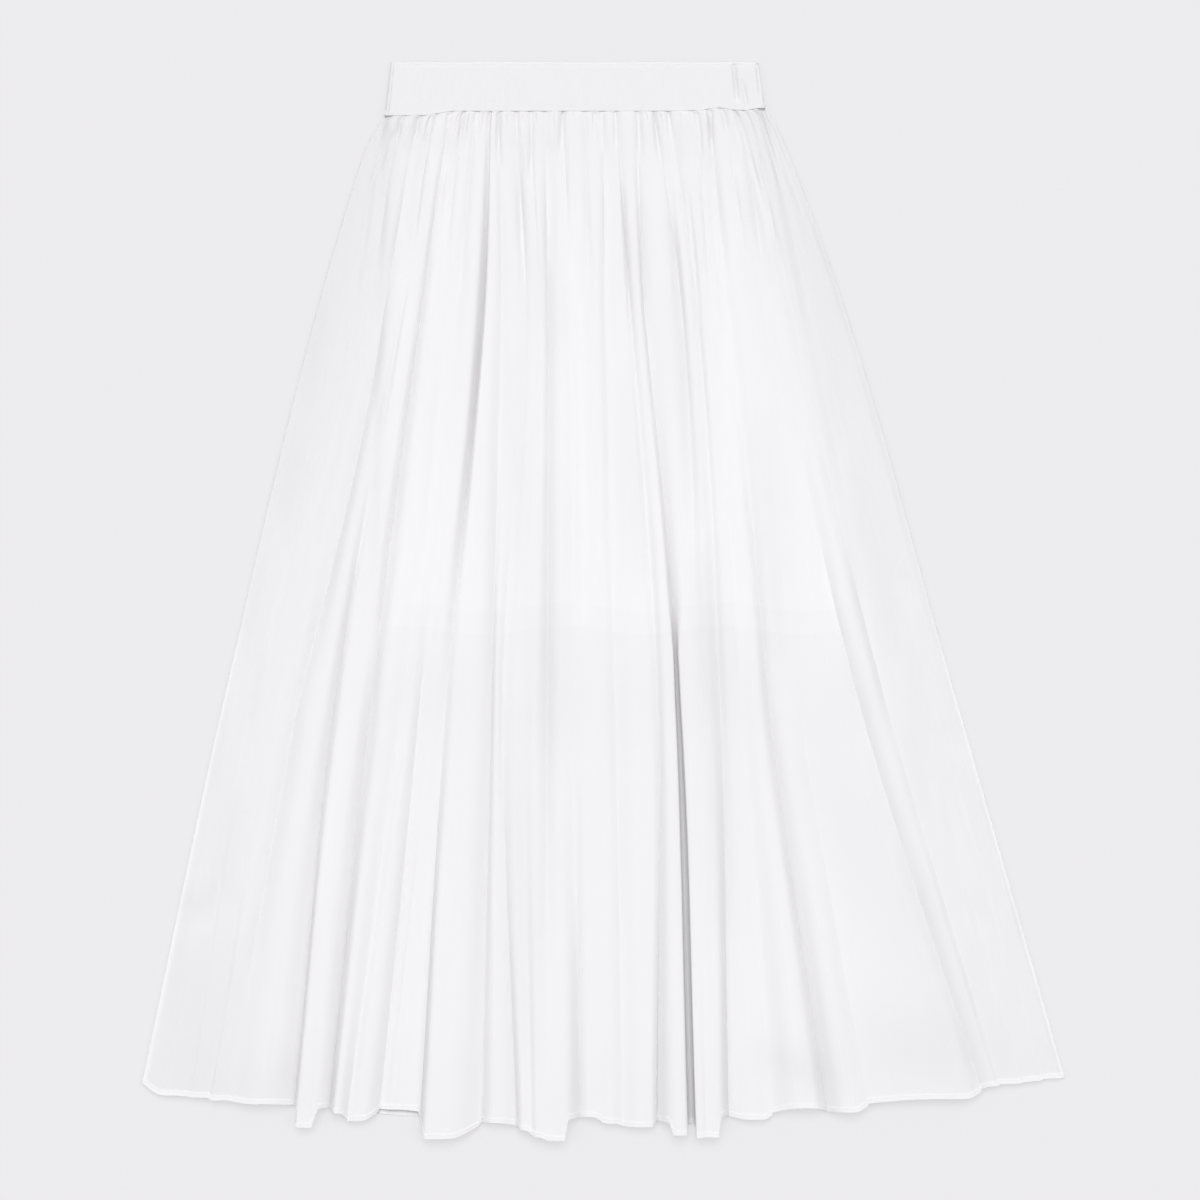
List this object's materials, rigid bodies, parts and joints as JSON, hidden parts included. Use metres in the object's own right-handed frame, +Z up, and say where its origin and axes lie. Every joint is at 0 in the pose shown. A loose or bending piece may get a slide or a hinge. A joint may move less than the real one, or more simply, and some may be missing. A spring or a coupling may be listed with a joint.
{
  "type": "midi skirt",
  "caption": "Long flared skirt laid flat, gathered onto a wide elastic waistband, with soft lengthwise folds that open into flutes at the hem and a short slip lining inside.",
  "frame": {"origin": "middle of the skirt's box, on the surface that it lies on", "axes": "+Y towards the waistband, -Y towards the hem, +X to the right as seen from above, +Z up out of the front panel"},
  "size_m": [0.7562, 0.8808, 0.0164],
  "materials": {
    "cloth": "thin white poplin with a faint sheen",
    "lining": "smooth white lining",
    "elastic": "matte white woven elastic"
  },
  "bodies": {
    "root": {"waistband": "elastic", "front_panel": "cloth", "back_panel": "cloth", "front_lining": "lining", "back_lining": "lining"}
  },
  "joints": []
}
